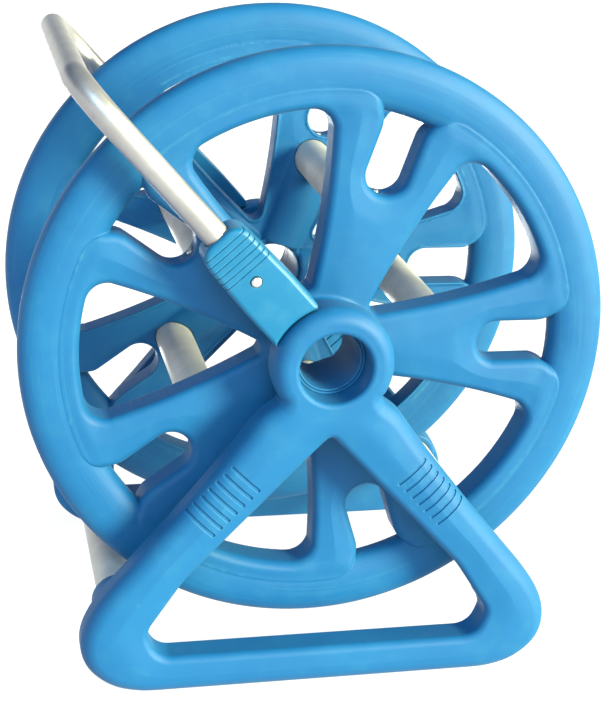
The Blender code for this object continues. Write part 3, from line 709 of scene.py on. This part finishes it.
def socket_solid(plane, x, y, z):
    z = z - AXLE_Z
    c, s = math.cos(math.radians(ARM_DEG)), math.sin(math.radians(ARM_DEG))
    along, across = x * c + z * s, -x * s + z * c
    rounding = 0.0050
    outer, inner = -SOCKET_FRONT - y, y + SOCKET_BACK
    # The front face tapers a little towards the handle end and is slightly crowned across
    outer = outer + 0.0012 * rise(along, 0.125, 0.170) + 0.0009 * (across / SOCKET_HALF) ** 2
    body = np.maximum(both(plane["outside"], outer, rounding), both(plane["outside"], inner, 0.0010))
    k = np.clip(np.round((along - 0.1290) / 0.0064), 0, 5)
    du = along - 0.1290 - 0.0064 * k
    groove = np.maximum(np.abs(du) - 0.0006, -body - 0.0010)
    groove = np.maximum(groove, y + SOCKET_FRONT - 0.0150)
    body = without(body, groove, 0.0006)
    arm = np.hypot(across, y + ARM_Y) - (HANDLE_R + 0.0009)
    body = without(body, np.maximum(arm, ARM_START - along), 0.0008)
    pin = np.hypot(along - BUTTON_AT, across) - 0.0056
    return without(body, np.maximum(pin, y + ARM_Y), 0.0006)


step = 0.0006
lo = np.array((-0.135, -0.2055, AXLE_Z + 0.020))
hi = np.array((-0.020, -0.1650, AXLE_Z + 0.150))
socket_mesh = Field(lo, hi, step, socket_planar, socket_solid).mesh("front_socket_shell", 110000)
show("front_socket_moulding", socket_mesh, CYAN, "frame", ["front_handle_socket"])
show("rear_socket_moulding", flipped(socket_mesh, "rear_socket_shell"), CYAN, "frame", ["rear_handle_socket"])


# Turned pieces ----------------------------------------------------------------------------------


def turned(name, profile, steps, centre=(0, AXLE_Z), closed=True, angle=40):
    """A (radius, y) profile turned about an axis along Y."""
    bm = bmesh.new()
    line = [bm.verts.new((r + centre[0], y, centre[1])) for r, y in profile]
    edges = [bm.edges.new(pair) for pair in zip(line, line[1:])]
    if closed:
        edges.append(bm.edges.new((line[-1], line[0])))
    bmesh.ops.spin(bm, geom=line + edges, axis=(0, 1, 0), cent=(centre[0], 0, centre[1]),
                   dvec=(0, 0, 0), angle=2 * math.pi, steps=steps, use_merge=True)
    bmesh.ops.remove_doubles(bm, verts=bm.verts, dist=1e-7)
    bmesh.ops.recalc_face_normals(bm, faces=bm.faces)
    mesh = bpy.data.meshes.new(name)
    bm.to_mesh(mesh)
    bm.free()
    return smooth(mesh, angle)


def eased(corners, radius, steps=3, closed=True):
    """A profile with its corners rounded by short arcs."""
    out = []
    count = len(corners)
    for k in range(count):
        here = Vector(corners[k])
        if not closed and k in (0, count - 1):
            out.append(tuple(here))
            continue
        before, after = Vector(corners[k - 1]) - here, Vector(corners[(k + 1) % count]) - here
        r = min(radius, 0.45 * before.length, 0.45 * after.length)
        a, b = here + before.normalized() * r, here + after.normalized() * r
        for s in range(steps + 1):
            t = s / steps
            out.append(tuple(a.lerp(here, t).lerp(here.lerp(b, t), t)))
    return out


def pipe(name, radius, wall, half, x, z, look, body, node, steps=72):
    profile = eased([(radius, -half), (radius, half), (radius - wall, half), (radius - wall, -half)], 0.0006)
    show(name, turned(name, profile, steps, (x, z)), look, body, [node])


DRUM_END = WHEEL_Y - WHEEL_HALF + SOCKET_DEPTH
for k in range(SPOKES):
    p = polar(DRUM_R, 72 * k)
    pipe(f"drum_pipe_{k + 1}", TUBE_R, TUBE_WALL, DRUM_END, p[0], p[1] + AXLE_Z, TUBE, "reel", f"drum_tube_{k + 1}")
for side, word in ((-1, "left"), (1, "right")):
    pipe(f"{word}_base_pipe", TUBE_R, TUBE_WALL, 0.1850, side * BASE_X, BASE_Z, TUBE, "frame", f"{word}_base_tube")

bush = turned("front_bush_ring", eased([
    (BORE_R - 0.0003, -BUSH_OUT_Y), (BORE_R - 0.0003, -FRAME_BACK + 0.0003), (0.0440, -FRAME_BACK + 0.0003),
    (0.0440, -FRAME_BACK + 0.0033), (JOURNAL_R + 0.0003, -FRAME_BACK + 0.0033), (JOURNAL_R + 0.0003, -BUSH_OUT_Y)], 0.0006), 96)
show("front_bush", bush, BLUE, "frame", ["front_axle_bush"])
show("rear_bush", flipped(bush, "rear_bush_ring"), BLUE, "frame", ["rear_axle_bush"])


def journal_planar(x, z):
    return {"radius": np.hypot(x, z - AXLE_Z)}


def journal_solid(plane, x, y, z):
    """A hub journal: a sleeve with a flange on the wheel."""
    z = z - AXLE_Z
    radius = plane["radius"]
    sleeve = both(np.maximum(radius - JOURNAL_R, JOURNAL_IN - radius), np.maximum(-JOURNAL_OUT_Y - y, y + 0.1080), 0.0008)
    flange = both(np.maximum(radius - 0.0470, JOURNAL_R - 0.002 - radius), np.maximum(-HUB_OUT_Y - 0.0003 - 0.0045 - y, y + HUB_OUT_Y + 0.0003), 0.0008)
    return either(sleeve, flange, 0.0010)


step = 0.0009
journal = Field((-0.049, -0.1915, AXLE_Z - 0.049), (0.049, -0.1065, AXLE_Z + 0.049), step, journal_planar, journal_solid).mesh("front_journal_shell", 60000)
show("front_journal", journal, BLUE, "reel", ["front_hub_journal"])
show("rear_journal", flipped(journal, "rear_journal_shell"), BLUE, "reel", ["rear_hub_journal"])


# Screws: one mesh of each length, with a domed head and a round drive recess ------------------


def screw_mesh(name, head_h, length, head_r=0.0042, shank_r=0.0021):
    """A screw along +Y, its head's underside at the origin."""
    profile = [(0.0, -head_h * 0.42), (0.0011, -head_h * 0.42), (0.0013, -head_h * 0.94)] + [
        (head_r * math.sin(t), -head_h * (0.35 + 0.65 * math.cos(t))) for t in np.linspace(0.36, math.pi / 2, 7)
    ] + [(head_r, -0.0002), (head_r - 0.0002, 0.0), (shank_r, 0.0)]
    turns = int(length * 0.8 / 0.0012)
    for k in range(turns):
        y = 0.0006 + k * 0.0012
        profile += [(shank_r, y), (shank_r * 0.82, y + 0.0006)]
    profile += [(shank_r * 0.80, length * 0.84), (0.0, length)]
    return turned(name, profile, 32, (0, 0), closed=False, angle=35)


def place_screw(name, mesh, head, direction, body, node):
    aim = Matrix.Translation(Vector(head)) @ Vector(direction).to_track_quat("Y", "Z").to_matrix().to_4x4()
    for sign, word in ((1, "front"), (-1, "rear")):
        copy = mesh.copy()
        copy.transform(aim)
        if sign < 0:
            copy.transform(Matrix.Scale(-1, 4, (0, 1, 0)))
            copy.flip_normals()
        show(f"{word}_{name}", copy, STEEL, body, [f"{word}_{node}"])


def at(radius, degrees, y):
    p = polar(radius, degrees)
    return Vector((p[0], y, p[1] + AXLE_Z))


drum_screw = screw_mesh("drum_screw_pattern", 0.0026, 0.0125)
hub_screw = screw_mesh("hub_screw_pattern", 0.0022, 0.0150)
base_screw = screw_mesh("base_screw_pattern", 0.0026, 0.0120)
socket_screws = [screw_mesh("socket_screw_pattern_1", 0.0026, 0.0185), screw_mesh("socket_screw_pattern_2", 0.0026, 0.0115)]
for k in range(SPOKES):
    place_screw(f"drum_pan_screw_{k + 1}", drum_screw, at(SLOT_R - 0.0007, 72 * k, -DRUM_SCREW_Y), at(0, 0, 0) - at(1, 72 * k, 0), "reel", f"drum_screw_{k + 1}")
for k in range(3):
    place_screw(f"hub_pan_screw_{k + 1}", hub_screw, at(0.0395, 36 + 120 * k, -HUB_OUT_Y - 0.0048 + 0.0025), (0, 1, 0), "reel", f"hub_screw_{k + 1}")
for side, word in ((-1, "left"), (1, "right")):
    place_screw(f"{word}_base_pan_screw", base_screw, (side * BASE_X, -0.1630, BASE_Z - COLLAR_R - 0.0003), (0, 0, 1), "frame", f"{word}_base_screw")
for k, reach in enumerate((0.080, 0.148)):
    place_screw(f"socket_pan_screw_{k + 1}", socket_screws[k], at(reach, ARM_DEG, -TONGUE_BACK + 0.0003), (0, -1, 0), "frame", f"socket_screw_{k + 1}")


# Handle tube ----------------------------------------------------------------------------------


def tube_along(name, path, radius, wall, sides=64):
    """An open tube along a path, with a wall and turned-in ends."""
    path = [Vector(p) for p in path]
    bm = bmesh.new()
    side = Vector((0, 1, 0))
    rows = []
    for k, p in enumerate(path):
        ahead = (path[min(k + 1, len(path) - 1)] - path[max(k - 1, 0)]).normalized()
        flat = polar(1.0, ARM_DEG)
        across = ahead.cross(Vector((flat[0], 0, flat[1]))).normalized() if abs(ahead.y) > 0.999 else None
        binormal = Vector((-flat[1], 0, flat[0]))
        normal = binormal.cross(ahead).normalized()
        rows.append((p, normal, binormal))
    outer = [[bm.verts.new(p + (a * math.cos(t) + b * math.sin(t)) * radius) for t in np.linspace(0, 2 * math.pi, sides, endpoint=False)] for p, a, b in rows]
    inner = [[bm.verts.new(p + (a * math.cos(t) + b * math.sin(t)) * (radius - wall)) for t in np.linspace(0, 2 * math.pi, sides, endpoint=False)] for p, a, b in rows]
    for rings in (outer, inner):
        for one, two in zip(rings, rings[1:]):
            for k in range(sides):
                bm.faces.new((one[k - 1], one[k], two[k], two[k - 1]))
    for one, two in ((outer[0], inner[0]), (outer[-1], inner[-1])):
        for k in range(sides):
            bm.faces.new((one[k - 1], one[k], two[k], two[k - 1]))
    bmesh.ops.recalc_face_normals(bm, faces=bm.faces)
    mesh = bpy.data.meshes.new(name)
    bm.to_mesh(mesh)
    bm.free()
    return smooth(mesh, 40)


path = [at(r, ARM_DEG, -ARM_Y) for r in np.linspace(ARM_START, HANDLE_REACH - HANDLE_BEND, 12)]
for k in range(1, 25):
    a = math.pi / 2 * k / 24
    path.append(at(HANDLE_REACH - HANDLE_BEND + HANDLE_BEND * math.sin(a), ARM_DEG, -ARM_Y + HANDLE_BEND * (1 - math.cos(a))))
path += [Vector((p.x, y, p.z)) for p, y in ((path[-1], -0.09), (path[-1], -0.045), (path[-1], 0.0))]
path += [Vector((p.x, -p.y, p.z)) for p in path[-2::-1]]
show("handle_bent_tube", tube_along("handle_bent_tube", path, HANDLE_R, HANDLE_WALL), BRIGHT, "frame", ["handle_tube"])

# Snap buttons
centre = at(BUTTON_AT, ARM_DEG, 0)
profile = [(0.0, -0.2062)] + [(0.0050 * math.sin(t), -0.2034 - 0.0028 * math.cos(t)) for t in np.linspace(0.15, math.pi / 2, 10)]
profile += [(0.0050, -0.1931), (0.0053, -0.1928), (0.0062, -0.1928), (0.0062, -0.1915), (0.0, -0.1915)]
button = turned("front_button_pin", profile, 48, (centre.x, centre.z), closed=False)
show("front_button", button, PIN, "front_button", ["front_snap_button"])
show("rear_button", flipped(button, "rear_button_pin"), PIN, "rear_button", ["rear_snap_button"])

for name in ("front_button_spring", "rear_button_spring"):
    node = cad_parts[name]
    node.data.materials.clear()
    node.data.materials.append(STEEL)

# Floor, light and camera ---------------------------------------------------------------------------

floor = bpy.data.meshes.new("floor")
bm = bmesh.new()
# A round floor whose far edge sweeps up, as a studio cove does
cove = [(28.0, 0.0), (29.5, 0.15), (30.6, 0.6), (31.4, 1.3), (31.8, 2.2), (32.0, 3.4), (32.0, 8.6)]
loops = [[bm.verts.new((r * math.cos(t), r * math.sin(t), z)) for t in np.linspace(0, 2 * math.pi, 96, endpoint=False)] for r, z in cove]
bm.faces.new(loops[0])
for one, two in zip(loops, loops[1:]):
    for k in range(96):
        bm.faces.new((one[k - 1], one[k], two[k], two[k - 1]))
bm.to_mesh(floor)
bm.free()
floor_object = bpy.data.objects.new("floor", floor)
bpy.context.scene.collection.objects.link(floor_object)
floor_object.location = (0, 0, -0.0003)
floor_object.visible_shadow = False
n = Nodes("floor_paper")
place = n.add("ShaderNodeTexCoord").outputs["Object"]
n.set(n.shader, "Base Color", n.mix(n.noise(place, 3.0, 3.0, 0.5), (0.16, 0.16, 0.16), (0.18, 0.18, 0.18)))
n.shader.inputs["Roughness"].default_value = 0.9
# The floor is a shooting table lit from below, so it stays white under the object
n.shader.inputs["Emission Color"].default_value = (1.0, 1.0, 1.0, 1.0)
n.shader.inputs["Emission Strength"].default_value = 0.90
floor.materials.append(n.material)

scene = bpy.context.scene
scene.view_settings.view_transform = "Standard"
scene.view_settings.look = "None"
scene.view_settings.exposure = 0.0
scene.view_settings.gamma = 1.0

world = bpy.data.worlds.new("studio")
scene.world = world
world.use_nodes = True
world.node_tree.nodes["Background"].inputs["Color"].default_value = (0.36, 0.50, 1.0, 1.0)
world.node_tree.nodes["Background"].inputs["Strength"].default_value = 0.28


def sun(name, direction, strength, spread, colour):
    """A light as even as a large far softbox: its direction points from the object to it."""
    data = bpy.data.lights.new(name, "SUN")
    data.energy = strength
    data.angle = math.radians(spread)
    data.color = colour
    made = bpy.data.objects.new(name, data)
    scene.collection.objects.link(made)
    made.rotation_euler = (-Vector(direction)).to_track_quat("-Z", "Y").to_euler()


sun("key", (0.68, -0.72, 0.26), 10.9, 20.0, (1.0, 1.0, 0.67))
sun("left", (-0.20, -0.78, 0.70), 2.6, 36.0, (0.52, 0.82, 1.0))
sun("side", (0.86, -0.14, 0.48), 4.2, 30.0, (1.0, 1.0, 0.60))
# This one shines up through the glass table, onto the far side
sun("back", (0.05, 0.93, -0.30), 5.0, 20.0, (0.94, 1.0, 1.0))

camera = bpy.data.objects.new("camera", bpy.data.cameras.new("camera"))
scene.collection.objects.link(camera)
turn = Matrix(((0.97587, 0.02813, -0.21655), (-0.21311, 0.33910, -0.91630), (0.04766, 0.94033, 0.33691)))
camera.matrix_world = Matrix.Translation((-0.35122, -1.56484, 0.86366)) @ turn.to_4x4()
camera.data.sensor_width = 36
camera.data.sensor_fit = "HORIZONTAL"
camera.data.lens = 94.978
camera.data.shift_x = -0.002515
camera.data.shift_y = -0.01674
camera.data.clip_end = 200
scene.camera = camera
